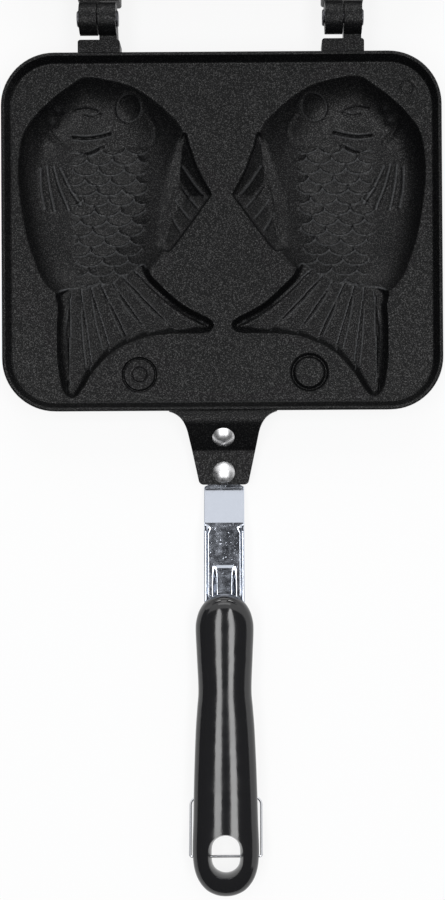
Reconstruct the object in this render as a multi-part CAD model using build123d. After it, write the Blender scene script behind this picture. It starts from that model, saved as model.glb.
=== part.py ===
from build123d import *
import os
from math import asin, atan, cos, degrees, radians, sin, tan

# Double-sided pan for two fish-shaped cakes, opened flat on a table.
# Two identical halves hang on one hinge line. The lower half reaches towards -Y from the hinge, and
# the upper half is the same set of pieces turned half round. Both moulds face up. The origin is on
# the table, under the middle of the hinge line, +X along the hinge.

os.makedirs("parts", exist_ok=True)

# ---------------------------------------------------------------- pan casting
pan_width = 165.1              # across the rim, along the hinge
pan_length = 134.5             # across the rim, from the hinge side to the handle side
pan_corner_radius = 20.0
pan_height = 16.5              # rim top above the table
skirt_wall = 3.0               # outer wall below the plate
plate_thickness = 3.0
outer_draft = 4.0              # degrees that the outer wall leans out towards the rim
inner_draft = 3.0              # degrees that the underside pocket narrows towards the plate
rim_land = 1.4                 # flat top of the rim
rim_depth = 3.6                # plate below the rim top
rim_slope = 2.0                # run of the slope from the rim down to the plate
rim_edge_radius = 0.8

# ---------------------------------------------------------------- fish moulds
fish_spacing = 93.0            # between the centres of the two fish
fish_from_rim = 49.95          # body centre from the hinge side of the rim
body_depth = 9.8               # deepest point of the body below the plate
fin_depth = 4.6                # floor of tail and back fin below the plate
fin_lean = 2.6                 # the tail and the back fin are this much smaller at their floor
shell_wall = 2.7               # metal under the moulds

# ---------------------------------------------------------------- hinge
hinge_offset = 12.1            # hinge line to the rim's outer edge
closing_gap = 0.15             # from each rim to the parting plane, when shut
lug_spacing = 91.5             # between the two lugs
lug_width = 15.8
lug_reach = 4.85               # the lug stops this far in front of the rim's outer edge
lug_drop = 1.2                 # top of the lug below the rim
lug_depth = 9.0                # height of the lug
lug_corner_radius = 1.0
knuckle_radius = 6.0
knuckle_width = 6.6
knuckle_gap = 0.5              # between the two halves' knuckles
pin_radius = 2.0
pin_head_radius = 3.0
pin_head_height = 0.7
pin_head_chamfer = 0.35
pin_running_fit = 0.05         # radial, in the upper half's knuckles
pin_head_clearance = 0.3       # head to the upper half's knuckle

# ---------------------------------------------------------------- handle tab
tab_thickness = 4.0
tab_drop = 1.9                 # root of the tab below the rim top
tab_root_flat = 3.75           # level stretch next to the pan
tab_slope_run = 10.8
tab_slope_angle = 36.0
tab_level_run = 12.8
tab_root_half_width = 20.3
tab_waist_half_width = 13.1
tab_waist_at = 9.2             # from the rim's outer edge
tab_end_half_width = 9.2
tab_corner_radius = 1.8
tab_bend_radius = 4.0          # at the middle of the tab's thickness

# ---------------------------------------------------------------- strap
strap_thickness = 1.2
strap_width = 15.3
strap_start = 1.8              # along the tab's slope, below its upper bend
strap_rise_start = 1.2         # level run beyond the end of the tab
strap_rise_run = 13.3
strap_bend_radius = 2.5        # at the middle of the strap's thickness
flange_height = 3.0            # channel sides above the channel floor
flange_lead = 1.5              # from the bend to where the channel sides start
rib_width = 7.9
rib_height = 0.9
rib_before_grip = 9.8          # start of the stiffening rib in front of the grip
rib_inside_grip = 8.0          # end of the rib behind the grip's mouth
rib_rounding = 0.7
strap_channel_run = 25.25      # from the bend to the mouth of the grip
tang_depth = 20.0              # strap inside the grip, to its bent end
tang_lip_height = 8.8          # bent end, from the underside of the strap
tang_corner_radius = 2.5

# ---------------------------------------------------------------- rivets
rivet_head_radius = 4.15
rivet_head_height = 1.7
rivet_shank_radius = 2.2
rivet_tail_radius = 3.6
rivet_tail_height = 1.1
inner_rivet_at = 5.9           # from the upper bend of the tab, measured level
outer_rivet_from_end = 4.5

# ---------------------------------------------------------------- grip
grip_length = 115.55           # the last point of the outline is its rounded end
grip_thickness = 13.6
grip_parting_gap = 0.4         # from the grip's back to the rim plane
grip_rounding = [              # share of the half thickness, inset of the outline at that level
    (0.0, 0.0), (0.44, 0.5), (0.73, 2.1), (0.90, 4.6), (0.98, 7.4), (1.0, 9.8),
]
socket_side_clearance = 0.1
socket_lead = 3.0              # the socket's cut starts this far in front of the mouth
grip_half_outline = [          # distance behind the mouth, half width
    (0.0, 0.0), (1.6, 5.2), (4.8, 8.7), (8.8, 10.4), (14.0, 10.95), (25.0, 10.5), (37.6, 10.05),
    (53.6, 11.15), (70.0, 11.8), (86.0, 12.2), (100.0, 12.45), (110.1, 9.4),
]
hanging_hole_width = 13.2
hanging_hole_length = 16.8
hanging_hole_from_end = 15.85  # centre of the hole

# ---------------------------------------------------------------- tie screw
screw_radius = 1.75
screw_clearance = 0.1
screw_head_radius = 3.3
screw_head_height = 2.6
screw_head_recess = 3.4        # bottom of the head's recess from the hanging hole
screw_tip_past_nut = 1.5
nut_across_flats = 6.0
nut_thickness = 2.8

# ---------------------------------------------------------------- clasp bail
bail_wire_radius = 0.5
bail_side_clearance = 0.35     # from the grip's widest place to the wire
bail_top_clearance = 0.6       # from the upper grip's back to the wire, when clasped
bail_corner_radius = 3.0
bail_bend_radius = 0.8         # sharp bend where the wire leaves the grip
bail_running_fit = 0.06        # radial, in the lower grip
bail_from_end = 15.0           # wire bearing from the end of the grip

# ---------------------------------------------------------------- worked out
hinge_z = pan_height + closing_gap
rim_y = -hinge_offset
pan_centre_y = rim_y - pan_length / 2
tab_root_y = rim_y - pan_length
plate_z = pan_height - rim_depth
tab_root_z = pan_height - tab_drop
tab_level_z = tab_root_z - tab_slope_run * tan(radians(tab_slope_angle))
tab_upper_bend_y = tab_root_y - tab_root_flat
tab_lower_bend_y = tab_upper_bend_y - tab_slope_run
tab_end_y = tab_lower_bend_y - tab_level_run
strap_level_z = tab_level_z - tab_thickness
strap_bend_y = tab_end_y - strap_rise_start - strap_rise_run
mouth_y = strap_bend_y - strap_channel_run
grip_end_y = mouth_y - grip_length
grip_centre_z = pan_height - grip_parting_gap - grip_thickness / 2
strap_channel_z = grip_centre_z - tang_lip_height / 2 + strap_thickness
tang_end_y = mouth_y - tang_depth
bail_y = grip_end_y + bail_from_end
hanging_hole_y = grip_end_y + hanging_hole_from_end
hole_front_y = hanging_hole_y + hanging_hole_length / 2
screw_seat_y = hole_front_y + screw_head_recess
lug_positions = [-lug_spacing / 2, lug_spacing / 2]


def rounded_plate(width, length, radius, level, rise, draft):
    """Rounded block centred on the pan, from `level` by `rise`, its walls leaning in by `draft` degrees."""
    outline = Pos(0, pan_centre_y, level) * RectangleRounded(width, length, radius)
    direction = (0, 0, 1) if rise > 0 else (0, 0, -1)
    return extrude(outline, abs(rise), dir=direction, taper=draft)


def side_profile(points):
    """Face in the YZ plane through (y, z) points."""
    return make_face(Polyline([(0, y, z) for y, z in points], close=True))


def across(face, width, centre_x=0.0):
    """Side profile carried `width` along X, centred on `centre_x`."""
    return Pos(centre_x, 0, 0) * extrude(face, width / 2, dir=(1, 0, 0), both=True)


def crossbar(radius, width, y, z, centre_x=0.0):
    """Round bar along X through (y, z)."""
    return across(Plane.YZ * Pos(y, z) * Circle(radius), width, centre_x)


def rod(radius, front_y, rear_y):
    """Round bar along the middle of the grip."""
    return Pos(0, (front_y + rear_y) / 2, grip_centre_z) * Rot(X=90) * Cylinder(radius, front_y - rear_y)


def block(width, rear_y, front_y, low_z, high_z):
    """Box centred on X = 0 between two Y and two Z levels."""
    place = Pos(0, (rear_y + front_y) / 2, (low_z + high_z) / 2)
    return place * Box(width, front_y - rear_y, high_z - low_z)


def sunk(line, depth):
    """A bent (y, z) line that runs towards -Y, moved square to itself to its underside."""
    normals = []
    for (y0, z0), (y1, z1) in zip(line, line[1:]):
        run = Vector(y1 - y0, z1 - z0).normalized()
        normals.append(Vector(-run.Y, run.X))
    moved = []
    for (y, z), before, after in zip(line, normals[:1] + normals, normals + normals[-1:]):
        step = (before + after) * (depth / (1 + before.dot(after)))
        moved.append((y + step.X, z + step.Y))
    return moved


def bent_sheet(line, radii, thickness):
    """Side profile of a sheet whose upper face follows `line`; `radii` are those of its middle."""
    middle = FilletPolyline(*sunk(line, thickness / 2), radius=radii)
    return Plane.YZ * trace(middle, thickness)


# ---------------------------------------------------------------- fish
# Outlines are drawn about the middle of the body, snout towards +Y and back towards +X.
body_outline = [
    (-6.5, 41.0), (6.5, 40.2), (20.0, 34.0), (31.2, 23.1), (35.3, 7.0), (31.5, -14.0),
    (19.5, -31.0), (3.5, -40.0), (-11.5, -42.0), (-21.0, -35.4), (-27.5, -18.0),
    (-30.3, 5.0), (-28.0, 21.0), (-17.5, 33.6),
]
body_sections = [(1.0, 0.0), (0.93, 0.40), (0.80, 0.76), (0.60, 0.96)]   # share of size, of depth
body_reach = 37.0              # mean reach of the body from its middle
tail_root = (2.0, -37.0)       # the tail narrows towards this point as it gets deeper
tail_reach = 32.0
fin_root = (22.0, 2.0)
fin_reach = 18.0


def scaled_about(root, share):
    """A function that moves a point towards or away from `root` by `share`."""
    return lambda x, y: (root[0] + (x - root[0]) * share, root[1] + (y - root[1]) * share)


def body_face(share):
    place = scaled_about((0.0, 0.0), share)
    return make_face(Spline([place(x, y) for x, y in body_outline], periodic=True))


def tail_face(share):
    """Forked tail: two lobes with rounded tips and a curved notch between them."""
    place = scaled_about(tail_root, share)
    upper_edge = Spline(place(19.5, -29.5), place(30.3, -43.6), place(41.5, -49.7))
    upper_tip = ThreePointArc(place(41.5, -49.7), place(43.3, -52.4), place(40.2, -55.1))
    notch = Spline(place(40.2, -55.1), place(20.0, -56.0), place(4.6, -62.5), place(-6.8, -77.0))
    lower_tip = ThreePointArc(place(-6.8, -77.0), place(-10.9, -79.3), place(-14.3, -75.4))
    lower_edge = Spline(place(-14.3, -75.4), place(-15.9, -56.0), place(-14.0, -38.5))
    root = Line(place(-14.0, -38.5), place(19.5, -29.5))
    return make_face([upper_edge, upper_tip, notch, lower_tip, lower_edge, root])


def fin_face(share):
    """Back fin: a low triangle whose root lies inside the body."""
    place = scaled_about(fin_root, share)
    front = Spline(place(27.0, 28.0), place(34.9, 14.4), place(42.2, -1.2))
    tip = ThreePointArc(place(42.2, -1.2), place(42.7, -2.8), place(42.0, -4.2))
    back = Line(place(42.0, -4.2), place(27.8, -24.0))
    root = Polyline(place(27.8, -24.0), place(18.0, -10.0), place(27.0, 28.0))
    return make_face([front, tip, back] + root.edges())


def pocket(face_at, reach, top, floor, grow, lean):
    """Sloping form, its outline grown by `grow` at `top`, and smaller by `lean` at `floor`."""
    upper = Pos(0, 0, top) * face_at(1 + grow / reach)
    lower = Pos(0, 0, floor) * face_at(1 + (grow - lean) / reach)
    return loft([upper, lower])


def fish_form(top, grow):
    """One fish as a solid below `top`: body bowl, tail and back fin, all larger and deeper by `grow`."""
    body_floor = plate_z - body_depth - grow
    fin_floor = plate_z - fin_depth - grow
    body = loft([
        Pos(0, 0, top - (top - body_floor) * depth_share) * body_face(share + grow / body_reach)
        for share, depth_share in body_sections
    ])
    tail = pocket(tail_face, tail_reach, top, fin_floor, grow, fin_lean)
    fin = pocket(fin_face, fin_reach, top, fin_floor, grow, fin_lean)
    return body + tail + fin


# ---------------------------------------------------------------- casting
def pan_form():
    """Rimmed plate on a skirt, hollow underneath, with two fish moulds side by side."""
    outer = rounded_plate(pan_width, pan_length, pan_corner_radius, pan_height, -pan_height, outer_draft)
    outer = fillet(outer.edges().group_by(Axis.Z)[-1], rim_edge_radius)
    tray = rounded_plate(
        pan_width - 2 * rim_land, pan_length - 2 * rim_land, pan_corner_radius - rim_land,
        pan_height, -rim_depth, degrees(atan(rim_slope / rim_depth)),
    )
    foot_inset = pan_height * tan(radians(outer_draft)) + skirt_wall
    underside = rounded_plate(
        pan_width - 2 * foot_inset, pan_length - 2 * foot_inset, pan_corner_radius - foot_inset,
        0.0, plate_z - plate_thickness, inner_draft,
    )
    form = outer - underside
    fish_place = Pos(-fish_spacing / 2, rim_y - fish_from_rim, 0)
    shell = fish_place * fish_form(plate_z - plate_thickness / 2, shell_wall)
    mould = fish_place * fish_form(plate_z, 0.0)
    form += shell
    form += mirror(shell, Plane.YZ)
    form -= tray
    form -= mould
    form -= mirror(mould, Plane.YZ)
    return form


def lug_form(centre_x):
    """Lug on the hinge side with this half's knuckle on its +X part."""
    back_y = rim_y - skirt_wall / 2
    front_y = rim_y + lug_reach
    top_z = pan_height - lug_drop
    bottom_z = top_z - lug_depth
    lug = Pos(centre_x, 0, 0) * block(lug_width, back_y, front_y, bottom_z, top_z)
    lug = fillet(lug.edges().filter_by(Axis.Z).group_by(Axis.Y)[-1], lug_corner_radius)
    arm_underside_z = hinge_z - knuckle_radius
    arm = side_profile([(back_y, bottom_z), (back_y, top_z), (front_y, top_z), (0, hinge_z),
                        (0, arm_underside_z), (front_y, bottom_z)])
    knuckle_x = centre_x + (knuckle_gap + knuckle_width) / 2
    barrel = crossbar(knuckle_radius, knuckle_width, 0, hinge_z, knuckle_x)
    return lug + across(arm, knuckle_width, knuckle_x) + barrel


tab_line = [                   # upper face of the tab, (y, z)
    (tab_root_y + skirt_wall, tab_root_z), (tab_upper_bend_y, tab_root_z),
    (tab_lower_bend_y, tab_level_z), (tab_end_y, tab_level_z),
]


def tab_form():
    """Handle tab: a bent plate that narrows from wide root fillets to a square end."""
    bend = across(bent_sheet(tab_line, tab_bend_radius, tab_thickness), 3 * tab_root_half_width)
    waist_y = tab_root_y - tab_waist_at
    right = [
        Spline((tab_root_half_width, tab_root_y), (tab_waist_half_width, waist_y),
               tangents=((-1, -0.25), (-0.18, -1))),
        Line((tab_waist_half_width, waist_y), (tab_end_half_width, tab_end_y)),
    ]
    left = [mirror(edge, Plane.YZ) for edge in right]
    root_y = tab_root_y + skirt_wall
    root = Polyline((-tab_root_half_width, tab_root_y), (-tab_root_half_width, root_y),
                    (tab_root_half_width, root_y), (tab_root_half_width, tab_root_y))
    end = Line((tab_end_half_width, tab_end_y), (-tab_end_half_width, tab_end_y))
    plan = make_face(right + left + root.edges() + [end])
    plan = fillet(plan.vertices().group_by(Axis.Y)[0], tab_corner_radius)
    return bend & extrude(plan, pan_height)


def casting_form():
    form = pan_form() + tab_form()
    for lug_x in lug_positions:
        form += lug_form(lug_x)
    form -= crossbar(pin_radius, pan_width, 0, hinge_z)
    for rivet_hole in rivet_shanks():
        form -= rivet_hole
    return form


# ---------------------------------------------------------------- rivets
stack = tab_thickness + strap_thickness


def rivet_places():
    """Frames on the tab's upper face, the face's outward direction up: inner rivet, then outer."""
    inner_y = tab_upper_bend_y - inner_rivet_at
    inner_z = tab_root_z - inner_rivet_at * tan(radians(tab_slope_angle))
    inner = Pos(0, inner_y, inner_z) * Rot(X=tab_slope_angle)
    outer = Pos(0, tab_end_y + outer_rivet_from_end, tab_level_z)
    return [inner, outer]


def rivet_shanks():
    shank = Pos(0, 0, -stack / 2) * Cylinder(rivet_shank_radius, stack)
    return [place * shank for place in rivet_places()]


def rivet_form(place):
    """Domed head on the tab, shank through tab and strap, low upset tail under the strap."""
    dome_radius = (rivet_head_radius ** 2 + rivet_head_height ** 2) / (2 * rivet_head_height)
    dome = Pos(0, 0, rivet_head_height - dome_radius) * Sphere(dome_radius)
    head = dome & Pos(0, 0, rivet_head_height) * Box(3 * rivet_head_radius, 3 * rivet_head_radius,
                                                     2 * rivet_head_height)
    shank = Pos(0, 0, -stack / 2) * Cylinder(rivet_shank_radius, stack)
    tail = Pos(0, 0, -stack - rivet_tail_height / 2) * Cylinder(rivet_tail_radius, rivet_tail_height)
    return place * (head + shank + tail)


# ---------------------------------------------------------------- strap
def strap_form():
    """Pressed strip: flat under the tab, then a ribbed channel whose bent end is held inside the grip."""
    tab_underside = sunk(tab_line, tab_thickness)
    slope = radians(tab_slope_angle)
    upper_bend_y, upper_bend_z = tab_underside[1]
    line = [
        (upper_bend_y - strap_start * cos(slope), upper_bend_z - strap_start * sin(slope)),
        tab_underside[2], (tab_end_y - strap_rise_start, strap_level_z),
        (strap_bend_y, strap_channel_z), (tang_end_y, strap_channel_z),
    ]
    nested_radius = tab_bend_radius + (tab_thickness + strap_thickness) / 2
    form = across(bent_sheet(line, [nested_radius, strap_bend_radius, strap_bend_radius], strap_thickness),
                  strap_width)
    floor_z = strap_channel_z - strap_thickness
    flange_top_z = strap_channel_z + flange_height
    flange_start_y = strap_bend_y - flange_lead
    flange = side_profile([(flange_start_y, floor_z), (flange_start_y - flange_height, flange_top_z),
                           (tang_end_y, flange_top_z), (tang_end_y, floor_z)])
    flange_x = (strap_width - strap_thickness) / 2
    form += across(flange, strap_thickness, flange_x) + across(flange, strap_thickness, -flange_x)
    rib_front_y = mouth_y + rib_before_grip
    rib_rear_y = mouth_y - rib_inside_grip
    rib = block(rib_width, rib_rear_y, rib_front_y, floor_z, strap_channel_z + rib_height)
    form += fillet(rib.edges().group_by(Axis.Z)[-1], rib_rounding)
    form -= block(rib_width - 2 * strap_thickness, rib_rear_y + strap_thickness,
                  rib_front_y - strap_thickness, floor_z, floor_z + rib_height)
    lip = block(strap_width, tang_end_y, tang_end_y + strap_thickness, floor_z, floor_z + tang_lip_height)
    form += fillet(lip.edges().filter_by(Axis.Y).group_by(Axis.Z)[-1], tang_corner_radius)
    form -= rod(screw_radius, tang_end_y + 2 * strap_thickness, tang_end_y - strap_thickness)
    for shank in rivet_shanks():
        form -= shank
    return form


# ---------------------------------------------------------------- grip
grip_widest = 2 * max(half_width for _, half_width in grip_half_outline)


def grip_face(level_share, inset):
    """Plan outline of the grip behind Y = 0 at one level, smaller all round by `inset`."""
    across_share = 1 - inset / (grip_widest / 2)
    along_share = 1 - inset / (grip_length / 2)
    middle = grip_length / 2
    right = [(half_width * across_share, middle + (distance - middle) * along_share)
             for distance, half_width in grip_half_outline]
    right.append((0.0, middle + middle * along_share))
    left = [(-x, distance) for x, distance in right[-2:0:-1]]
    outline = Spline([(x, -distance) for x, distance in right + left], periodic=True)
    return Pos(0, 0, grip_centre_z + level_share * grip_thickness / 2) * make_face(outline)


def grip_form():
    """Waisted, round-edged handle with the strap's socket, the screw's bore and the hanging hole."""
    lower_levels = [(-level, inset) for level, inset in grip_rounding[:0:-1]]
    solid_grip = loft([grip_face(level, inset) for level, inset in lower_levels + grip_rounding])
    body = Pos(0, mouth_y, 0) * solid_grip
    floor_z = strap_channel_z - strap_thickness
    body -= block(strap_width + 2 * socket_side_clearance, tang_end_y, mouth_y + socket_lead,
                  floor_z, floor_z + tang_lip_height)
    hole = Pos(0, hanging_hole_y, 0) * Rot(Z=90) * SlotOverall(hanging_hole_length, hanging_hole_width)
    body -= extrude(hole, 4 * grip_thickness, both=True)
    body -= rod(screw_radius + screw_clearance, tang_end_y + screw_radius, hole_front_y - screw_radius)
    body -= rod(screw_head_radius + screw_clearance, screw_seat_y, hole_front_y - screw_radius)
    return body


def screw_form():
    """Long screw: head in the recess of the hanging hole, tip just past the nut."""
    tip_y = tang_end_y + strap_thickness + nut_thickness + screw_tip_past_nut
    head = rod(screw_head_radius, screw_seat_y, screw_seat_y - screw_head_height)
    return rod(screw_radius, tip_y, screw_seat_y) + head


def nut_form():
    face = RegularPolygon(nut_across_flats / 2, 6, major_radius=False) - Circle(screw_radius)
    place = Pos(0, tang_end_y + strap_thickness, grip_centre_z) * Rot(X=-90)
    return place * extrude(face, nut_thickness)


# ---------------------------------------------------------------- bail
bail_length = (2 * hinge_z - 2 * grip_centre_z) + grip_thickness / 2 + bail_top_clearance + bail_wire_radius
bail_rest_angle = degrees(asin((grip_centre_z - bail_wire_radius) / bail_length))


def bail_form(grip_width):
    """Closed wire loop: one side is the bearing through the grip, the other rests on the table."""
    half_width = grip_width / 2 + bail_side_clearance + bail_wire_radius
    bends = [bail_bend_radius, bail_corner_radius, bail_corner_radius, bail_bend_radius]
    loop = FilletPolyline(
        (half_width, 0), (half_width, bail_length), (-half_width, bail_length), (-half_width, 0),
        close=True, radius=bends)
    start = Plane(loop @ 0, z_dir=loop % 0)
    wire = sweep(start * Circle(bail_wire_radius), path=loop)
    return Pos(0, bail_y, grip_centre_z) * Rot(X=-bail_rest_angle) * wire


# ---------------------------------------------------------------- pins
def pin_form(centre_x):
    """Hinge pin, peened over the lower half's knuckle and just clear of the upper half's."""
    right_end = knuckle_gap / 2 + knuckle_width
    left_end = right_end + pin_head_clearance
    shank = crossbar(pin_radius, right_end + left_end, 0, hinge_z, centre_x + (right_end - left_end) / 2)
    right_x = centre_x + right_end + pin_head_height / 2
    left_x = centre_x - left_end - pin_head_height / 2
    right = crossbar(pin_head_radius, pin_head_height, 0, hinge_z, right_x)
    left = crossbar(pin_head_radius, pin_head_height, 0, hinge_z, left_x)
    right = chamfer(right.edges().group_by(Axis.X)[-1], pin_head_chamfer)
    left = chamfer(left.edges().group_by(Axis.X)[0], pin_head_chamfer)
    return shank + left + right


# ---------------------------------------------------------------- assembly
turned = Rot(Z=180)
lower_casting = casting_form()
upper_casting = turned * lower_casting - crossbar(pin_radius + pin_running_fit, pan_width, 0, hinge_z)
strap = strap_form()
inner_place, outer_place = rivet_places()
inner_rivet = rivet_form(inner_place)
outer_rivet = rivet_form(outer_place)
grip = grip_form()
screw = screw_form()
nut = nut_form()
bail_bearing = crossbar(bail_wire_radius + bail_running_fit, 2 * grip_widest, bail_y, grip_centre_z)

nodes = {
    "lower_casting": lower_casting,
    "upper_casting": upper_casting,
    "hinge_pin_left": pin_form(lug_positions[0]),
    "hinge_pin_right": pin_form(lug_positions[1]),
    "lower_strap": strap,
    "upper_strap": turned * strap,
    "lower_inner_rivet": inner_rivet,
    "lower_outer_rivet": outer_rivet,
    "upper_inner_rivet": turned * inner_rivet,
    "upper_outer_rivet": turned * outer_rivet,
    "lower_grip": grip - bail_bearing,
    "upper_grip": turned * grip,
    "lower_tie_screw": screw,
    "upper_tie_screw": turned * screw,
    "lower_strap_nut": nut,
    "upper_strap_nut": turned * nut,
    "clasp_bail": bail_form(grip.bounding_box().size.X),
}

for name, shape in nodes.items():
    export_step(shape, f"parts/{name}.step")
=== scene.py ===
from math import pi, radians

import bmesh
import bpy
import numpy as np
from mathutils import Matrix


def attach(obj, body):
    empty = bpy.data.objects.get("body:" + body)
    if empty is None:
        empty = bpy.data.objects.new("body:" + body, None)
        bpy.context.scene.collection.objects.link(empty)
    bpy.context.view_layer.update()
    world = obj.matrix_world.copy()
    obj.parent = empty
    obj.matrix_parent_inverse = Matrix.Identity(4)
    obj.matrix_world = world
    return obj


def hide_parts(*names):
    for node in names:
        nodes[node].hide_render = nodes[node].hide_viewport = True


# Double pan for fish-shaped cakes, opened flat. Lengths in the tables are millimetres in the frame of
# the lower half; the upper half is the same set of pieces turned half round about the hinge's middle.

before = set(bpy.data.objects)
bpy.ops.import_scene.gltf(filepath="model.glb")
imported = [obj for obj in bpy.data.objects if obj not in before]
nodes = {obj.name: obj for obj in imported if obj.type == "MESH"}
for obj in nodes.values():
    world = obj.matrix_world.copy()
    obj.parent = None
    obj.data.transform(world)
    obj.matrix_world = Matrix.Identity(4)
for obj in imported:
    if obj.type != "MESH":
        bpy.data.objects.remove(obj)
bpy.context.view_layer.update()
MM = 0.001


# ------------------------------------------------------------------ curves and meshes
def smooth_loop(points, per_span=12):
    """Closed Catmull-Rom curve through the points: each span is a cubic whose end slopes are half the
    chord between its neighbours."""
    p = np.asarray(points, float)
    before, after, next_after = np.roll(p, 1, 0), np.roll(p, -1, 0), np.roll(p, -2, 0)
    t = np.linspace(0, 1, per_span, endpoint=False)[None, :, None]
    a, b, c, d = before[:, None], p[:, None], after[:, None], next_after[:, None]
    curve = 0.5 * (2 * b + (c - a) * t + (2 * a - 5 * b + 4 * c - d) * t**2 + (3 * b - 3 * c + d - a) * t**3)
    return curve.reshape(-1, 2)


def smooth_line(points, per_span=8):
    """Open Catmull-Rom curve through the points, its ends doubled."""
    p = np.asarray(points, float)
    p = np.vstack([2 * p[0] - p[1], p, 2 * p[-1] - p[-2]])
    t = np.linspace(0, 1, per_span, endpoint=False)[None, :, None]
    a, b, c, d = p[:-3, None], p[1:-2, None], p[2:-1, None], p[3:, None]
    curve = 0.5 * (2 * b + (c - a) * t + (2 * a - 5 * b + 4 * c - d) * t**2 + (3 * b - 3 * c + d - a) * t**3)
    return np.vstack([curve.reshape(-1, 2), p[-2]])


def line_distance(x, y, line):
    """Distance from each (x, y) to a polyline: the least distance to its segments."""
    best = np.full(x.shape, 1e9)
    for (x0, y0), (x1, y1) in zip(line[:-1], line[1:]):
        dx, dy = x1 - x0, y1 - y0
        t = np.clip(((x - x0) * dx + (y - y0) * dy) / (dx * dx + dy * dy + 1e-12), 0, 1)
        best = np.minimum(best, np.hypot(x - x0 - t * dx, y - y0 - t * dy))
    return best


def inside_depth(x, y, loop):
    """Signed distance to a closed loop, positive inside: the sign comes from how often a ray to the
    right crosses the loop."""
    closed = np.vstack([loop, loop[:1]])
    inside = np.zeros(x.shape, bool)
    for (x0, y0), (x1, y1) in zip(closed[:-1], closed[1:]):
        if y0 != y1:
            inside ^= ((y0 > y) != (y1 > y)) & (x < (x1 - x0) * (y - y0) / (y1 - y0) + x0)
    return np.where(inside, 1, -1) * line_distance(x, y, closed)


def ease(t):
    """Smooth step from 0 to 1: 3t^2 - 2t^3 between the ends."""
    t = np.clip(t, 0, 1)
    return t * t * (3 - 2 * t)


def grid_faces(rows, columns, wrap_rows=False, wrap_columns=False):
    """Quads of a grid of points kept row by row; a wrapped side joins its last line to its first."""
    r = np.arange(rows if wrap_rows else rows - 1)[:, None]
    c = np.arange(columns if wrap_columns else columns - 1)[None, :]
    r1, c1 = (r + 1) % rows, (c + 1) % columns
    quads = np.stack([r * columns + c, r * columns + c1, r1 * columns + c1, r1 * columns + c], -1)
    return quads.reshape(-1, 4)


def show(name, mesh, finish, body, stands_for=(), crease=38):
    """Put a finished mesh in the scene as a piece that rides on a body."""
    mesh.materials.clear()
    mesh.materials.append(finish)
    mesh.shade_smooth()
    mesh.set_sharp_from_angle(angle=radians(crease))
    piece = bpy.data.objects.new(name, mesh)
    bpy.context.scene.collection.objects.link(piece)
    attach(piece, body)
    if stands_for:
        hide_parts(*stands_for)
    return piece


def turned(mesh, name):
    """Copy of a mesh turned half round about +Z."""
    other = mesh.copy()
    other.name = name
    co = np.zeros(len(other.vertices) * 3)
    other.vertices.foreach_get("co", co)
    co = co.reshape(-1, 3) * (-1, -1, 1)
    other.vertices.foreach_set("co", co.ravel())
    other.update()
    return other


def node_arrays(name):
    """Merged points (mm) and triangles of a CAD node."""
    mesh = nodes[name].data
    co = np.zeros(len(mesh.vertices) * 3)
    mesh.vertices.foreach_get("co", co)
    mesh.calc_loop_triangles()
    tri = np.zeros(len(mesh.loop_triangles) * 3, np.int32)
    mesh.loop_triangles.foreach_get("vertices", tri)
    points = co.reshape(-1, 3) / MM
    _, first, back = np.unique(np.round(points, 3), axis=0, return_index=True, return_inverse=True)
    tri = back.reshape(-1)[tri].reshape(-1, 3)
    whole = (tri[:, 0] != tri[:, 1]) & (tri[:, 1] != tri[:, 2]) & (tri[:, 2] != tri[:, 0])
    return points[first], tri[whole]


# ------------------------------------------------------------------ finishes
def finish_of(name, **sockets):
    """New material with its Principled shader's sockets set."""
    material = bpy.data.materials.new(name)
    material.use_nodes = True
    shader = material.node_tree.nodes["Principled BSDF"]
    for socket, value in sockets.items():
        shader.inputs[socket.replace("_", " ")].default_value = value
    return material, material.node_tree, shader


def add_node(tree, kind, **settings):
    node = tree.nodes.new(kind)
    for key, value in settings.items():
        if key in node.inputs:
            node.inputs[key].default_value = value
        else:
            setattr(node, key, value)
    return node


def noise(tree, scale, detail=2.0, roughness=0.5):
    """Noise on the piece's own Object coordinates; `scale` is cells per metre."""
    place = add_node(tree, "ShaderNodeTexCoord")
    texture = add_node(tree, "ShaderNodeTexNoise", Scale=scale, Detail=detail, Roughness=roughness)
    tree.links.new(place.outputs["Object"], texture.inputs["Vector"])
    return texture.outputs["Fac"]


def ramp(tree, value, low, high, from_colour, to_colour):
    """Value mapped from low..high to two colours."""
    node = add_node(tree, "ShaderNodeValToRGB")
    node.color_ramp.elements[0].position = low
    node.color_ramp.elements[0].color = (*from_colour, 1)
    node.color_ramp.elements[1].position = high
    node.color_ramp.elements[1].color = (*to_colour, 1)
    tree.links.new(value, node.inputs["Fac"])
    return node.outputs["Color"]


def grey(level):
    return (level, level, level)


def add_bump(tree, shader, height, strength, distance):
    bump = add_node(tree, "ShaderNodeBump", Strength=strength, Distance=distance)
    tree.links.new(height, bump.inputs["Height"])
    tree.links.new(bump.outputs["Normal"], shader.inputs["Normal"])
    return bump


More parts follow.
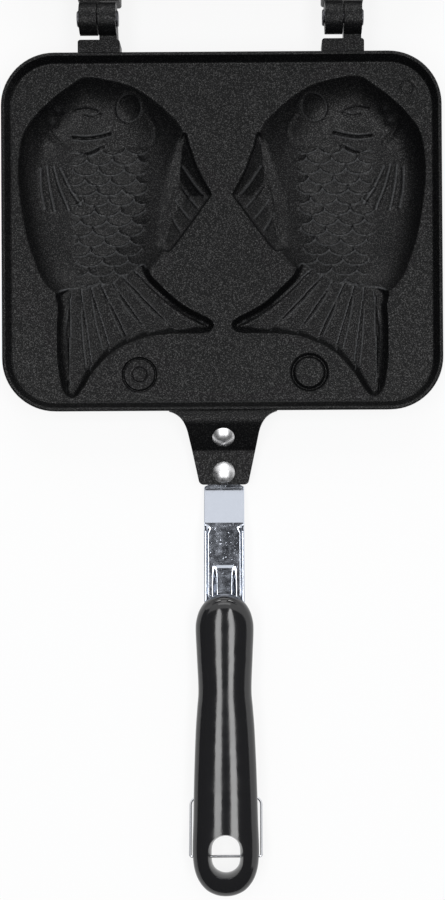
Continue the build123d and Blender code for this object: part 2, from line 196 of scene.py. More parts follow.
def coating_finish():
    """Dark non-stick coat on cast metal: fine grain, pale flecks where the grain peaks, and a painted highlight
    that makes the coat a little lighter on ridges (the mesh attribute `relief` is positive there)."""
    material, tree, shader = finish_of("nonstick_coating", Metallic=0.0)
    grain = noise(tree, 1500, 3.0, 0.6)
    flecks = noise(tree, 2600, 1.0, 0.5)
    relief = add_node(tree, "ShaderNodeAttribute", attribute_name="relief").outputs["Fac"]
    # Painted highlight: a lighter colour is added to the coat where `relief` is positive, along ridges.
    painted_ridge_highlight = add_node(tree, "ShaderNodeMix", data_type="RGBA", blend_type="ADD")
    painted_ridge_highlight.inputs["Factor"].default_value = 1.0
    tree.links.new(ramp(tree, flecks, 0.56, 0.74, (0.0024, 0.0025, 0.0028), (0.009, 0.009, 0.009)),
                   painted_ridge_highlight.inputs["A"])
    tree.links.new(ramp(tree, relief, 0.03, 0.30, grey(0.0), (0.060, 0.062, 0.064)), painted_ridge_highlight.inputs["B"])
    tree.links.new(painted_ridge_highlight.outputs["Result"], shader.inputs["Base Color"])
    tree.links.new(ramp(tree, flecks, 0.50, 0.74, grey(0.11), grey(0.62)), shader.inputs["Specular IOR Level"])
    tree.links.new(ramp(tree, grain, 0.35, 0.7, grey(0.46), grey(0.34)), shader.inputs["Roughness"])
    add_bump(tree, shader, grain, 0.55, 0.00012)
    return material


def grip_finish():
    """Moulded glossy black plastic with a faint long-wave unevenness."""
    material, tree, shader = finish_of("glossy_black_grip", Metallic=0.0)
    shader.inputs["Base Color"].default_value = (0.014, 0.014, 0.015, 1)
    soft = noise(tree, 160, 2.0, 0.5)
    tree.links.new(ramp(tree, soft, 0.3, 0.8, grey(0.10), grey(0.18)), shader.inputs["Roughness"])
    shader.inputs["Specular IOR Level"].default_value = 0.60
    add_bump(tree, shader, soft, 0.12, 0.0004)
    return material


def metal_finish(name, colour, rough_low, rough_high, scale, bump):
    """Metal whose roughness wanders between two values, with a light bump."""
    material, tree, shader = finish_of(name, Metallic=1.0)
    shader.inputs["Base Color"].default_value = (*colour, 1)
    soft = noise(tree, scale, 3.0, 0.6)
    tree.links.new(ramp(tree, soft, 0.3, 0.75, grey(rough_low), grey(rough_high)), shader.inputs["Roughness"])
    add_bump(tree, shader, soft, bump, 0.0002)
    return material


def chrome_finish():
    """Bright plated steel with short diagonal scratches: noise stretched along one direction, of which
    only the peaks stand up."""
    material, tree, shader = finish_of("bright_chrome", Metallic=1.0)
    shader.inputs["Base Color"].default_value = (0.60, 0.64, 0.72, 1)
    tree.links.new(ramp(tree, noise(tree, 420, 3.0, 0.6), 0.3, 0.75, grey(0.10), grey(0.20)), shader.inputs["Roughness"])
    place = add_node(tree, "ShaderNodeTexCoord")
    turn = add_node(tree, "ShaderNodeMapping", vector_type="TEXTURE")
    turn.inputs["Rotation"].default_value = (0, 0, radians(-35))
    turn.inputs["Scale"].default_value = (0.00034, 0.0013, 0.00034)
    scratch = add_node(tree, "ShaderNodeTexNoise", Scale=1.0, Detail=2.0, Roughness=0.6)
    tree.links.new(place.outputs["Object"], turn.inputs["Vector"])
    tree.links.new(turn.outputs["Vector"], scratch.inputs["Vector"])
    add_bump(tree, shader, ramp(tree, scratch.outputs["Fac"], 0.66, 0.80, grey(0.0), grey(1.0)), 0.35, 0.00004)
    return material


coating = coating_finish()
grip_black = grip_finish()
chrome = chrome_finish()
rivet_metal = metal_finish("satin_rivet", (0.80, 0.80, 0.81), 0.32, 0.44, 600, 0.10)
pin_metal = metal_finish("dark_pin", (0.10, 0.10, 0.11), 0.30, 0.45, 500, 0.15)
wire_metal = metal_finish("bright_wire", (0.62, 0.63, 0.66), 0.15, 0.25, 700, 0.05)
zinc = metal_finish("zinc_plate", (0.62, 0.62, 0.64), 0.28, 0.42, 500, 0.10)

# ------------------------------------------------------------------ pan sizes
PAN_WIDTH, PAN_LENGTH, PAN_CORNER, PAN_TOP = 165.1, 134.5, 20.0, 16.5
PAN_CENTRE_Y = -12.1 - PAN_LENGTH / 2
RIM_LAND, RIM_SLOPE, PLATE_Z = 1.4, 2.0, 12.9
FISH_CENTRE = (-46.5, -62.05)
BODY_DEPTH, FIN_DEPTH = 9.8, 4.6

# ------------------------------------------------------------------ fish relief
# Points are in the left fish's own frame: body middle at the origin, snout towards +Y, back towards +X.
BODY_LOOP = [
    (-6.6, 41.3), (-2.6, 41.7), (2.1, 41.1), (12.3, 38.5), (20.0, 33.9), (26.1, 28.8), (31.3, 23.1),
    (34.4, 14.4), (35.3, 7.0), (34.2, -1.5), (31.6, -11.0), (27.7, -20.0), (22.8, -27.6), (17.2, -33.4),
    (11.1, -37.6), (4.5, -40.4), (-2.5, -41.9), (-9.5, -42.4), (-15.9, -40.6), (-21.0, -35.4),
    (-24.4, -27.6), (-27.2, -18.4), (-29.3, -6.1), (-30.3, 4.2), (-30.0, 11.9), (-28.2, 20.6),
    (-23.6, 27.2), (-16.9, 33.9), (-10.7, 38.5),
]
TAIL_LOOP = [
    (15.6, -27.5), (18.5, -30.7), (20.0, -33.8), (24.3, -38.1), (30.3, -43.5), (36.3, -47.1),
    (41.2, -49.6), (43.2, -51.8), (42.3, -54.2), (39.6, -55.2), (30.3, -55.3), (20.0, -56.1),
    (12.3, -58.4), (4.6, -62.5), (-2.0, -69.2), (-6.8, -76.7), (-9.7, -79.2), (-12.6, -78.2),
    (-14.3, -75.0), (-15.6, -66.1), (-15.9, -55.8), (-15.4, -45.6), (-15.0, -38.0), (0.0, -30.0),
]
FIN_LOOP = [
    (31.5, 20.0), (34.9, 14.4), (37.0, 8.3), (39.6, 2.8), (42.6, -2.6), (42.4, -4.0), (40.2, -6.9),
    (37.7, -10.5), (34.0, -15.6), (30.3, -20.5), (27.8, -23.6), (25.0, -24.6), (20.0, -20.0), (20.0, 0.0),
]
TAIL_RAYS = [
    [(-11.2, -41.1), (-12.3, -47.9), (-13.0, -54.7), (-12.3, -65.4), (-11.2, -73.4)],
    [(-7.0, -40.7), (-6.8, -49.8), (-6.2, -58.4), (-5.2, -67.4)],
    [(-3.0, -40.7), (-1.6, -49.8), (1.0, -60.4)],
    [(1.8, -38.8), (4.4, -46.6), (8.6, -56.0)],
    [(5.6, -37.6), (10.2, -45.4), (16.4, -52.9)],
    [(9.6, -35.4), (16.8, -43.6), (25.3, -51.2)],
    [(13.9, -31.8), (24.2, -41.4), (32.5, -47.4), (38.6, -50.6)],
]
FIN_RAYS = [
    [(31.6, 8.4), (36.0, 1.8), (39.9, -3.2)], [(30.2, 2.2), (34.1, -3.0), (37.4, -7.4)],
    [(28.8, -4.0), (31.8, -8.4), (34.4, -11.9)], [(26.9, -9.3), (29.2, -13.6), (31.2, -17.0)],
]
SIDE_FIN_RAYS = [
    [(-22.6, 8.5), (-22.4, 0.6), (-21.1, -6.3)], [(-20.2, 9.4), (-19.3, 2.0), (-17.4, -7.2)],
    [(-17.6, 9.6), (-15.4, 1.6), (-12.2, -6.3)], [(-15.2, 9.0), (-11.4, 1.4), (-7.6, -4.6)],
]
EYE = (11.4, 30.9)
MOUTH = [(-10.4, 20.9), (-5.5, 20.6), (-0.5, 21.2), (3.6, 22.1)]
CHEEK = [(-10.2, 13.9), (-4.6, 14.6), (0.9, 17.2)]
NOSTRILS = [[(-9.0, 30.5), (-5.0, 31.2), (-1.2, 30.4)], [(-5.9, 28.7), (-2.8, 28.2), (0.2, 29.3)]]
GILL = [(-20.8, 28.6), (-20.2, 24.8), (-18.2, 21.0), (-15.2, 18.4)]
GILL_BACK = [(18.5, 28.4), (21.3, 23.6), (21.0, 19.0), (17.4, 16.2), (12.4, 16.2)]
LIPS = [(-15.4, 30.0), (-17.2, 26.0)]
FAN_ORIGIN, FAN_START, FAN_STEP = (-10.5, -14.0), -1.5, 9.2
SCALE_ROW, SCALE_WIDTH, SCALE_DIP, SCALE_TOP = 3.9, 9.8, 3.0, 17.6


def ridge(x, y, line, height, width, power=2):
    """Ridge height exp(-(distance / width)^power) along a smooth line, flatter on top with a higher
    power; a negative height cuts a groove."""
    return height * np.exp(-(line_distance(x, y, smooth_line(line)) / width) ** power)


def wall(distance, foot):
    """Share of full depth at a distance inside the edge: steep at first, level from `foot` on."""
    t = np.clip(distance / foot, 0, 1)
    return 1 - (1 - t) ** 2


def scale_steps(x, y):
    """Overlapping scales: rows of U-shaped edges, every second row moved by half a scale. The surface
    sinks towards each edge and steps back up behind it."""
    steps = np.zeros(x.shape)
    taken = np.zeros(x.shape, bool)
    for row in range(15):
        across = np.mod((x + 0.04 * row * SCALE_WIDTH) / SCALE_WIDTH + 0.5 * (row % 2), 1)
        edge = SCALE_TOP - row * SCALE_ROW - SCALE_DIP * np.sqrt(np.clip(1 - (2 * across - 1) ** 2, 0, 1))
        here = (y > edge) & ~taken
        steps = np.where(here, np.clip(1 - (y - edge) / (SCALE_ROW + 0.4 * SCALE_DIP), 0, 1) ** 2.2, steps)
        taken |= here
    middle = 3.0
    reach = 15.5 - 0.13 * np.clip(-(y + 12), 0, 30)
    mask = (1 - ease((np.abs(x - middle) - reach + 3.5) / 5.0)) * ease((y + 43) / 3) * (1 - ease((y - 15) / 3))
    return steps * mask


def fish_depth(x, y):
    """Depth of the mould below the plate: the deepest of a bowl 1 - s^6.5 over the body (s is the share
    of the outline's reach) and two walled pockets for tail and back fin, with ridges, grooves and scale
    steps added, and the upper edge rounded."""
    body = smooth_loop(BODY_LOOP)
    angle = np.arctan2(body[:, 1], body[:, 0])
    order = np.argsort(angle)
    reach = np.interp(np.arctan2(y, x), angle[order], np.hypot(body[:, 0], body[:, 1])[order], period=2 * pi)
    share = np.hypot(x, y) / reach
    bowl = BODY_DEPTH * (1 - share ** (4.9 - 2.1 * np.cos(np.arctan2(y, x))))
    bowl += 0.70 * scale_steps(x, y)
    eye = np.hypot(x - EYE[0], y - EYE[1])
    bowl += -0.24 * np.exp(-((eye - 4.7) / 0.55) ** 2) + 0.15 * (1 - ease((eye - 2.4) / 0.8))
    bowl -= ridge(x, y, MOUTH, -0.8, 0.55) + ridge(x, y, CHEEK, -0.45, 0.6)
    for line in NOSTRILS:
        bowl -= ridge(x, y, line, -0.35, 0.5)
    bowl -= ridge(x, y, GILL, -0.6, 1.1) + ridge(x, y, GILL_BACK, -0.15, 0.9)
    for lip_x, lip_y in LIPS:
        bowl -= 0.5 * np.exp(-(np.hypot(x - lip_x, y - lip_y) / 1.6) ** 2)
    for line in SIDE_FIN_RAYS:
        bowl -= ridge(x, y, line, 0.55, 0.8)
    bowl = np.where(share < 1, bowl, 0)

    tail_in = inside_depth(x, y, smooth_loop(TAIL_LOOP, 6))
    fan = np.degrees(np.arctan2(x - FAN_ORIGIN[0], FAN_ORIGIN[1] - y))
    between = np.mod((fan - FAN_START) / FAN_STEP, 1)
    foot = 2.4 + 1.3 * between * ease((-y - 48) / 6)
    tail = FIN_DEPTH * wall(tail_in, foot) + 0.55 * between * ease((tail_in - 2) / 2)
    for line in TAIL_RAYS:
        tail -= ridge(x, y, line, 0.34, 0.60) * ease(tail_in - 1.2)
    tail = np.where(tail_in > 0, tail, 0)

    fin_in = inside_depth(x, y, smooth_loop(FIN_LOOP, 6))
    fin = np.clip(1.3 + 0.66 * fin_in, 0, 6.9) * wall(fin_in, 0.9)
    for line in FIN_RAYS:
        fin -= ridge(x, y, line, 0.40, 0.6) * ease(fin_in - 1.0)
    fin = np.where(fin_in > 0, fin, 0)

    both = np.clip(4.0 - np.abs(bowl - fin), 0, None) ** 2 / 16 * ease(np.minimum(bowl, fin) / 4)
    depth = np.maximum(np.maximum(bowl, fin) + both, tail)
    return depth - 0.3 * (1 - np.exp(-depth / 0.3))


FISH_PITCH = 0.385
FISH_BOX = (-32.0, 45.0, -81.5, 43.5)


def fish_patch():
    """Height grid over one fish, kept only where it is below the plate and one cell around; also how
    far each point stands above the mean of the cells around it. Points level with the plate sway by
    0.04 mm along two sine waves, so that no three on the stepped border are in line."""
    x = np.arange(FISH_BOX[0], FISH_BOX[1], FISH_PITCH)
    y = np.arange(FISH_BOX[2], FISH_BOX[3], FISH_PITCH)
    gx, gy = np.meshgrid(x, y)
    depth = fish_depth(gx, gy)
    depth[depth < 0.004] = 0
    low = depth > 0
    cell = low[:-1, :-1] | low[1:, :-1] | low[:-1, 1:] | low[1:, 1:]
    near = np.pad(cell, 1)
    wide = sum(near[i:i + cell.shape[0], j:j + cell.shape[1]] for i in range(3) for j in range(3)) > 0
    faces = grid_faces(len(y), len(x))[wide.ravel()]
    sway = np.where(low, 0, 0.04)
    level_x, level_y = gx + sway * np.sin(3.7 * gy), gy + sway * np.sin(2.9 * gx)
    points = np.stack([level_x, level_y, PLATE_Z - depth], -1).reshape(-1, 3)
    around = np.pad(depth, 2, mode="edge")
    around = sum(around[i:i + depth.shape[0], j:j + depth.shape[1]] for i in range(5) for j in range(5)) / 25
    used, faces = np.unique(faces, return_inverse=True)
    return points[used], faces.reshape(-1, 4), ((around - depth) * ease(depth / 2 - 0.5)).ravel()[used]


def ring_patch(centre_x, centre_y, rings, reach):
    """Small round patch of the plate with circular grooves: each ring is (radius, half width, depth)."""
    radius = np.concatenate([[0.02], np.linspace(0.2, reach, 44)])
    angle = np.linspace(0, 2 * pi, 72, endpoint=False)
    r, a = np.meshgrid(radius, angle, indexing="ij")
    sink = sum(depth * np.exp(-((r - middle) / half) ** 2) for middle, half, depth in rings)
    sink = np.where(r > reach - 0.3, 0, sink)
    points = np.stack([centre_x + r * np.cos(a), centre_y + r * np.sin(a), PLATE_Z - sink], -1).reshape(-1, 3)
    return points, grid_faces(len(radius), len(angle), wrap_columns=True)


RINGS = [
    (-31.4, -132.75, [(6.15, 0.36, 0.9), (2.75, 0.28, 0.3)], 7.4),
    (32.5, -132.2, [(6.3, 0.70, 1.3)], 8.0),
    (69.9, -25.3, [(2.5, 0.28, 0.28)], 3.6),
]


def rim_loop(inset, per_corner=18):
    """Rounded rectangle at a distance inside the pan's outer edge, anticlockwise."""
    half_x, half_y = PAN_WIDTH / 2 - PAN_CORNER, PAN_LENGTH / 2 - PAN_CORNER
    radius = PAN_CORNER - inset
    arc = np.linspace(0, pi / 2, per_corner)
    corners = [(half_x, half_y, 0), (-half_x, half_y, pi / 2), (-half_x, -half_y, pi), (half_x, -half_y, 1.5 * pi)]
    return np.vstack([
        np.stack([cx + radius * np.cos(arc + start), PAN_CENTRE_Y + cy + radius * np.sin(arc + start)], -1)
        for cx, cy, start in corners
    ])


def rim_section():
    """(inset, z) down the inside of the rim: land, rounded edge, slope, rounded foot, plate."""
    top, foot = np.array([RIM_LAND, PAN_TOP]), np.array([RIM_LAND + RIM_SLOPE, PLATE_Z])
    down = (foot - top) / np.linalg.norm(foot - top)
    t = np.linspace(0, 1, 6)[:, None]
    edge_start, edge_end = top - (0.22, 0), top + 0.30 * down
    foot_start, foot_end = foot - 0.8 * down, foot + (0.7, 0)
    edge = (1 - t) ** 2 * edge_start + 2 * t * (1 - t) * top + t**2 * edge_end
    root = (1 - t) ** 2 * foot_start + 2 * t * (1 - t) * foot + t**2 * foot_end
    return np.vstack([edge_start - (0.12, 0), edge, root, foot_end + (0.35, 0)])


def casting_mesh():
    """The CAD casting with its tray taken out, and a finer tray sewn into the opening."""
    points, tri = node_arrays("lower_casting")
    a, b, c = points[tri[:, 0]], points[tri[:, 1]], points[tri[:, 2]]
    up = np.cross(b - a, c - a)[:, 2]
    centre = (a + b + c) / 3
    low_z, high_z = np.minimum(np.minimum(a, b), c)[:, 2], np.maximum(np.maximum(a, b), c)[:, 2]
    corner_x = np.clip(np.abs(centre[:, 0]) - (PAN_WIDTH / 2 - PAN_CORNER), 0, None)
    corner_y = np.clip(np.abs(centre[:, 1] - PAN_CENTRE_Y) - (PAN_LENGTH / 2 - PAN_CORNER), 0, None)
    in_tray = np.hypot(corner_x, corner_y) < PAN_CORNER - RIM_LAND + 0.05
    tray = in_tray & (up > 1e-9) & (high_z < PAN_TOP + 1e-3)
    land = (low_z > PAN_TOP - 1e-3) & (high_z < PAN_TOP + 1e-3)
    in_slope = in_tray & (low_z > PLATE_Z + 0.1) & (high_z < PAN_TOP - 0.1)
    body_faces = tri[~(tray | land | in_slope)]

    section = rim_section()
    band = np.stack([np.column_stack([rim_loop(inset), np.full(72, z)]) for inset, z in section])
    parts = [(points, body_faces), (band.reshape(-1, 3), grid_faces(len(section), 72, wrap_columns=True)[:, ::-1])]
    fish, fish_faces, fish_relief = fish_patch()
    parts.append((fish + (*FISH_CENTRE, 0), fish_faces))
    parts.append((fish * (-1, 1, 1) + (-FISH_CENTRE[0], FISH_CENTRE[1], 0), fish_faces[:, ::-1]))
    relief = np.concatenate([np.zeros(sum(len(p) for p, _ in parts[:2])), fish_relief, fish_relief])
    parts += [ring_patch(*ring) for ring in RINGS]

    faces, start = [], 0
    for part_points, part_faces in parts:
        faces += (part_faces + start).tolist()
        start += len(part_points)
    mesh = bpy.data.meshes.new("casting")
    mesh.from_pydata((np.vstack([p for p, _ in parts]) * MM).tolist(), [], faces)
    relief = np.concatenate([relief, np.zeros(len(mesh.vertices) - len(relief))])
    mesh.attributes.new("relief", "FLOAT", "POINT").data.foreach_set("value", relief)
    shape = bmesh.new()
    shape.from_mesh(mesh)
    bmesh.ops.delete(shape, geom=[v for v in shape.verts if not v.link_faces], context="VERTS")
    for level in (PAN_TOP, PLATE_Z):
        rim = [e for e in shape.edges if e.is_boundary
               and all(abs(v.co.z / MM - level) < 2e-3 for v in e.verts)]
        bmesh.ops.triangle_fill(shape, use_beauty=False, use_dissolve=False, edges=rim, normal=(0, 0, 1))
    bmesh.ops.recalc_face_normals(shape, faces=shape.faces)
    shape.to_mesh(mesh)
    shape.free()
    return mesh


lower_casting_mesh = casting_mesh()
show("lower_casting_moulds", lower_casting_mesh, coating, "lower_half", ["lower_casting"], 50)
show("upper_casting_moulds", turned(lower_casting_mesh, "upper_casting"), coating, "upper_half",
     ["upper_casting"], 50)


# ------------------------------------------------------------------ handle straps
STRAP_LINE = [(-150.51, 9.54), (-159.85, 2.75), (-175.15, 2.75), (-188.45, 6.1), (-224.0, 6.1)]
STRAP_BENDS = [7.2, 3.1, 1.9]
STRAP_HALF, TONGUE_HALF, SHOULDER_Y = 7.65, 5.9, -174.2
SHEET = 1.2
FLANGE_Y, FLANGE_RISE, FLANGE_HEIGHT, FLANGE_FILLET = -188.9, 3.4, 3.0, 0.55
RIB_Y, RIB_HALF, RIB_START, RIB_CLIMB = -203.9, 3.95, 0.08, 0.11


def rounded_line(points, radii, step):
    """Polyline with its inner corners turned into arcs of the given radii, resampled at equal steps;
    also the unit normals, turned a quarter clockwise from the way it runs."""
    p = np.asarray(points, float)
    line = [p[0]]
    for corner, before, after, radius in zip(p[1:-1], p[:-2], p[2:], radii):
        back, ahead = before - corner, after - corner
        back, ahead = back / np.linalg.norm(back), ahead / np.linalg.norm(ahead)
        half = np.arccos(np.clip(back @ ahead, -1, 1)) / 2
        reach = radius / np.tan(half)
        t = np.linspace(0, 1, 12)[:, None]
        line += list((1 - t) ** 2 * (corner + reach * back) + 2 * t * (1 - t) * corner + t**2 * (corner + reach * ahead))
    line = np.array(line + [p[-1]])
    run = np.concatenate([[0], np.cumsum(np.linalg.norm(np.diff(line, axis=0), axis=1))])
    at = np.linspace(0, run[-1], int(run[-1] / step) + 1)
    line = np.stack([np.interp(at, run, line[:, 0]), np.interp(at, run, line[:, 1])], -1)
    along = np.gradient(line, axis=0)
    along /= np.linalg.norm(along, axis=1)[:, None]
    return line, np.stack([along[:, 1], -along[:, 0]], -1)


def strap_mesh():
    """Channel section carried along the bent line. Going round from the middle of the underside:
    x = half - r (1 - cos a) at the lower corner, the outer wall, a rounded top of radius r, the inner
    wall, a fillet down to the floor, and the floor with a flat-topped rib that climbs by 0.11 per mm. The walls
    grow from nothing to full height over a few millimetres behind the bend."""
    line, normal = rounded_line(STRAP_LINE, STRAP_BENDS, 0.28)
    y = line[:, 0][:, None]
    half = TONGUE_HALF + (STRAP_HALF - TONGUE_HALF) * ease((SHOULDER_Y + 0.5 - y) / 1.2)
    share = ease((FLANGE_Y - y) / FLANGE_RISE)
    height = FLANGE_HEIGHT * share
    rib_height = ease((RIB_Y - y) / 1.8) * (RIB_START + RIB_CLIMB * np.clip(RIB_Y - y, 0, 10))
    edge = 0.35 + 0.25 * share
    fillet = FLANGE_FILLET + 1.9 * (1 - ease((FLANGE_Y - 0.6 - y) / 3.2))
    inner = half - 2 * edge
    quarter = np.linspace(0, pi / 2, 7)[None, :]

    def rib(x):
        return rib_height * (1 - ease((np.abs(x) - RIB_HALF + 1.3) / 2.0))

    under_x = np.linspace(0, 1, 26)[None, :-1] * (half - 0.5)
    under = (under_x, -SHEET + rib(under_x) * (np.abs(under_x) < RIB_HALF + 1))
    corner = (half - 0.5 + 0.5 * np.sin(quarter), -SHEET + 0.5 - 0.5 * np.cos(quarter) + 0 * y)
    outer_top = (half - edge + edge * np.cos(quarter), height - edge + edge * np.sin(quarter))
    inner_top = (half - edge - edge * np.sin(quarter[:, 1:]), height - share * edge * (1 - np.cos(quarter[:, 1:])))
    down = np.linspace(0.2, 0.8, 4)[None, :]
    wall_from, wall_to = height - share * edge, share * fillet
    inner_wall = (inner + 0 * down, wall_from + (wall_to - wall_from) * down)
    foot = (inner - fillet * (1 - np.cos(quarter)), share * fillet * (1 - np.sin(quarter)))
    floor_x = np.linspace(1, 0, 42)[None, 1:] * (inner - fillet)
    floor_part = (floor_x, rib(floor_x))
    x = np.hstack([part[0] + 0 * y for part in (under, corner, outer_top, inner_top, inner_wall, foot, floor_part)])
    h = np.hstack([part[1] + 0 * y for part in (under, corner, outer_top, inner_top, inner_wall, foot, floor_part)])
    x = np.hstack([x, -x[:, -2:0:-1]])
    h = np.hstack([h, h[:, -2:0:-1]])
    points = np.stack([x, y + h * normal[:, :1], line[:, 1:] + h * normal[:, 1:]], -1)
    rings, around = x.shape
    faces = grid_faces(rings, around, wrap_columns=True).tolist()
    faces += [list(range(around - 1, -1, -1)), list(range((rings - 1) * around, rings * around))]
    mesh = bpy.data.meshes.new("strap")
    mesh.from_pydata((points.reshape(-1, 3) * MM).tolist(), [], faces)
    return mesh


# ------------------------------------------------------------------ grips
MOUTH_Y, GRIP_LENGTH, GRIP_Z, GRIP_HALF_THICK = -213.7, 115.55, 9.3, 6.8
GRIP_SIDE = [
    (1.4, 0.0), (2.1, 3.6), (4.2, 6.9), (7.2, 9.2), (10.8, 10.5), (15.0, 10.95), (25.0, 10.55), (37.6, 10.05),
    (45.0, 10.55), (53.6, 11.15), (70.0, 11.8), (86.0, 12.2), (100.0, 12.5), (107.6, 11.2), (112.6, 8.0),
    (115.0, 3.9), (115.55, 0.0),
]
HOLE_AT, HOLE_HALF_LENGTH, HOLE_RADIUS, HOLE_WAIST = 99.7, 8.4, 6.6, 1.25
NOSE_AT, NOSE_RUN, TAIL_RUN = 1.4, 8.0, 15.0
COLLAR_RADIUS, COLLAR_AT = 11.0, 4.0
BREAK_AT = 26.8


def grip_mesh():
    """Ring-shaped grid: columns go round the plan, from the outline to the hanging hole's edge; rows go
    from the side over the top, down the hole's wall and back below. Half thickness at (x, d), d behind
    the mouth: 6.8 sqrt(1 - (x / w(d))^2) times a rounding at nose and tail, less a collar groove along
    an arc and a shallow trough across."""
    side = smooth_line(GRIP_SIDE, 24)
    side[:, 1] = np.clip(side[:, 1], 0, None)
    run = np.concatenate([[0], np.cumsum(np.linalg.norm(np.diff(side, axis=0), axis=1))])
    at = np.linspace(0, run[-1], 190)
    d_side, w_side = np.interp(at, run, side[:, 0]), np.interp(at, run, side[:, 1])
    d_out = np.concatenate([d_side, d_side[-2:0:-1]])
    x_out = np.concatenate([w_side, -w_side[-2:0:-1]])

    ahead = HOLE_AT - d_out
    angle = np.arctan2(x_out, np.where(ahead > 0, ahead * 12.5 / HOLE_AT, ahead * 12.5 / (GRIP_LENGTH - HOLE_AT)))
    straight = HOLE_HALF_LENGTH - HOLE_RADIUS

    def hole(inset):
        shift = straight * np.tanh(4 * np.cos(angle))
        return (HOLE_RADIUS - inset) * np.sin(angle), HOLE_AT - shift - (HOLE_RADIUS - inset) * np.cos(angle)

    def half_thickness(x, d):
        w = np.interp(d, side[:, 0], side[:, 1])
        t = np.clip(np.abs(x) / np.maximum(w, 1e-6), 0, 1)
        nose = np.clip(1 - (1 - np.clip((d - NOSE_AT) / NOSE_RUN, 0, 1)) ** 2.5, 0, 1) ** 0.4
        tail = np.clip(1 - (1 - np.clip((GRIP_LENGTH - d) / TAIL_RUN, 0, 1)) ** 2.2, 0, 1) ** (1 / 2.2)
        thick = GRIP_HALF_THICK * np.sqrt(1 - t**2) * nose * tail
        collar = np.hypot(x, d - COLLAR_AT - COLLAR_RADIUS) - COLLAR_RADIUS
        thick -= 0.5 * np.exp(-(collar / 0.4) ** 2) * (d < COLLAR_AT + 4) * (1 - ease((np.abs(x) - 6.0) / 1.4))
        return thick - 0.24 * np.exp(-((d - BREAK_AT) / 1.4) ** 2) * (1 - t**2)

    hole_x, hole_d = hole(0.0)
    rows_x, rows_d, rows_z = [], [], []
    for phi in np.linspace(0, pi / 2, 62):
        r = np.cos(phi)
        x = hole_x + (x_out - hole_x) * r
        d = hole_d + (d_out - hole_d) * r
        thick = half_thickness(x, d)
        rows_x.append(x)
        rows_d.append(d)
        rows_z.append(thick if phi else 0 * thick)
    rim = rows_z[-1]
    for level in (0.97, 0.90, 0.80, 0.65, 0.45, 0.22):
        wall_x, wall_d = hole(HOLE_WAIST * (1 - level**2))
        rows_x.append(wall_x)
        rows_d.append(wall_d)
        rows_z.append(rim * level)
    waist_x, waist_d = hole(HOLE_WAIST)
    x = np.array(rows_x + [waist_x] + rows_x[:0:-1])
    d = np.array(rows_d + [waist_d] + rows_d[:0:-1])
    z = np.array(rows_z + [0 * rim] + [-row for row in rows_z[:0:-1]])
    points = np.stack([x, MOUTH_Y - d, GRIP_Z + z], -1)
    faces = grid_faces(*x.shape, wrap_rows=True, wrap_columns=True)[:, ::-1]
    mesh = bpy.data.meshes.new("grip")
    mesh.from_pydata((points.reshape(-1, 3) * MM).tolist(), [], faces.tolist())
    return mesh


lower_strap_mesh, lower_grip_mesh = strap_mesh(), grip_mesh()
for half, body in (("lower", "lower_half"), ("upper", "upper_half")):
    strap, grip = lower_strap_mesh, lower_grip_mesh
    if half == "upper":
        strap, grip = turned(strap, "upper_strap"), turned(grip, "upper_grip")
    show(f"{half}_channel_strap", strap, chrome, body, [f"{half}_strap"], 35)
    show(f"{half}_moulded_grip", grip, grip_black, body, [f"{half}_grip"], 50)

# ------------------------------------------------------------------ plain CAD pieces
FINISHES = {
    "hinge_pin_left": pin_metal, "hinge_pin_right": pin_metal,
    "lower_inner_rivet": rivet_metal, "lower_outer_rivet": rivet_metal,
    "upper_inner_rivet": rivet_metal, "upper_outer_rivet": rivet_metal,
    "lower_tie_screw": zinc, "upper_tie_screw": zinc,
    "lower_strap_nut": zinc, "upper_strap_nut": zinc,
    "clasp_bail": wire_metal,
}
for name, finish in FINISHES.items():
    mesh = nodes[name].data
    mesh.materials.clear()
    mesh.materials.append(finish)

# ------------------------------------------------------------------ floor, light and camera
def seen_directly(tree):
    """1 for rays from the camera, from mirror reflections and through glass, else 0."""
    ray = add_node(tree, "ShaderNodeLightPath")
    total = ray.outputs["Is Camera Ray"]
    for kind in ("Is Glossy Ray", "Is Transmission Ray"):
        either = add_node(tree, "ShaderNodeMath", operation="MAXIMUM")
        tree.links.new(total, either.inputs[0])
        tree.links.new(ray.outputs[kind], either.inputs[1])
        total = either.outputs[0]
    return total


floor_mesh = bpy.data.meshes.new("floor")
floor_mesh.from_pydata([(-4, -4, -0.0004), (4, -4, -0.0004), (4, 4, -0.0004), (-4, 4, -0.0004)], [], [(0, 1, 2, 3)])
floor = bpy.data.objects.new("floor", floor_mesh)
bpy.context.scene.collection.objects.link(floor)
floor_paint, floor_tree, floor_shader = finish_of("pale_floor", Roughness=0.9)
floor_shader.inputs["Base Color"].default_value = (0.86, 0.86, 0.86, 1)
floor_shader.inputs["Specular IOR Level"].default_value = 0.0
glow = add_node(floor_tree, "ShaderNodeEmission", Strength=1.0)
glow.inputs["Color"].default_value = (1, 1, 1, 1)
blend = add_node(floor_tree, "ShaderNodeMixShader")
share = add_node(floor_tree, "ShaderNodeMath", operation="MULTIPLY")
share.inputs[1].default_value = 0.86
floor_tree.links.new(seen_directly(floor_tree), share.inputs[0])
floor_tree.links.new(share.outputs[0], blend.inputs[0])
floor_tree.links.new(floor_shader.outputs[0], blend.inputs[1])
floor_tree.links.new(glow.outputs[0], blend.inputs[2])
output = next(n for n in floor_tree.nodes if n.type == "OUTPUT_MATERIAL")
floor_tree.links.new(blend.outputs[0], output.inputs["Surface"])
floor_mesh.materials.append(floor_paint)

world = bpy.data.worlds.new("studio")
bpy.context.scene.world = world
world.use_nodes = True
sky = world.node_tree
back = sky.nodes["Background"]
back.inputs["Strength"].default_value = 1.0
sky_mix = add_node(sky, "ShaderNodeMix", data_type="RGBA")
sky_mix.inputs["A"].default_value = (0.25, 0.255, 0.27, 1)
sky_mix.inputs["B"].default_value = (1, 1, 1, 1)
sky.links.new(seen_directly(sky), sky_mix.inputs["Factor"])
sky.links.new(sky_mix.outputs["Result"], back.inputs["Color"])


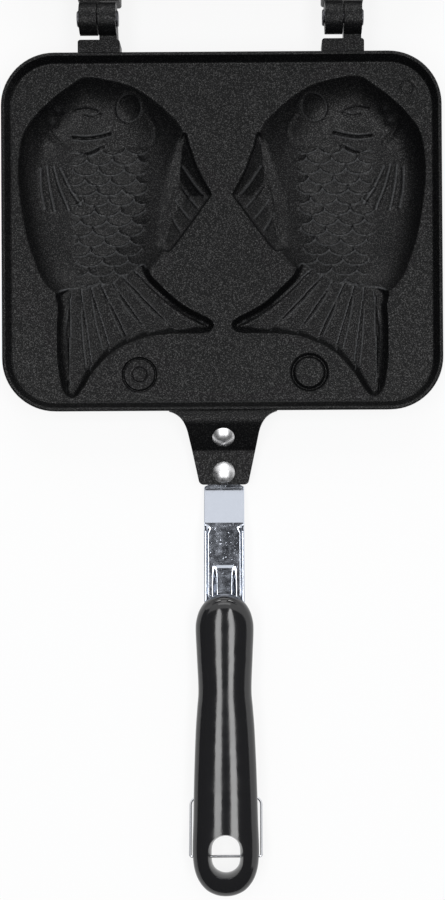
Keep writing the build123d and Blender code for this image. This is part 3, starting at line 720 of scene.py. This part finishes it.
def softbox(name, place, aim, width, length, power):
    """Area lamp at `place` turned to `aim` (metres)."""
    lamp = bpy.data.lights.new(name, "AREA")
    lamp.shape = "RECTANGLE"
    lamp.size, lamp.size_y = width, length
    lamp.energy = power
    holder = bpy.data.objects.new(name, lamp)
    holder.location = place
    back_axis = np.array(place, float) - aim
    back_axis /= np.linalg.norm(back_axis)
    side_axis = np.cross((0, 1, 0), back_axis)
    side_axis /= np.linalg.norm(side_axis)
    turn = Matrix(np.column_stack([side_axis, np.cross(back_axis, side_axis), back_axis]).tolist())
    holder.rotation_euler = turn.to_euler()
    holder.visible_camera = False
    bpy.context.scene.collection.objects.link(holder)


middle = (0, -0.16, 0)
softbox("softbox_left", (-0.28, -0.30, 0.95), middle, 0.25, 0.75, 3.7)
softbox("softbox_right", (0.30, -0.30, 0.95), middle, 0.25, 0.75, 4.1)
softbox("softbox_hinge_side", (0, 0.95, 0.75), middle, 1.2, 0.7, 4.5)

# Dark cards over, left of and in front of the lower half, seen in reflections only.
card_mesh = bpy.data.meshes.new("dark_card")
card_mesh.from_pydata(
    [(-1.6, -1.6, 1.0), (3, -1.6, 1.0), (3, 0.08, 1.0), (-1.6, 0.08, 1.0), (-1.6, -1.6, 0.02), (3, -1.6, 0.02),
     (-1.6, 0.6, 0.02), (-1.6, 0.6, 1.0)],
    [], [(3, 2, 1, 0), (4, 5, 1, 0), (4, 6, 7, 0)])
card_paint, _, _ = finish_of("card_black", Roughness=1.0, Base_Color=(0.01, 0.01, 0.012, 1))
card_mesh.materials.append(card_paint)
card = bpy.data.objects.new("dark_card", card_mesh)
card.visible_camera = card.visible_diffuse = card.visible_shadow = False
bpy.context.scene.collection.objects.link(card)

camera = bpy.data.cameras.new("camera")
camera.sensor_fit = "VERTICAL"
camera.sensor_height = 36.0
CAMERA_PLACE = (0.012, -0.190, 0.6159)
FOCAL_PX = 1606.5
camera.lens = FOCAL_PX / 900 * 36.0
camera.shift_x, camera.shift_y = -0.0346, 0.0740
camera.clip_start = 0.01
viewpoint = bpy.data.objects.new("camera", camera)
viewpoint.location = CAMERA_PLACE
viewpoint.rotation_euler = (radians(0.355), radians(0.076), radians(-0.343))
bpy.context.scene.collection.objects.link(viewpoint)
bpy.context.scene.camera = viewpoint
bpy.context.scene.view_settings.view_transform = "Standard"
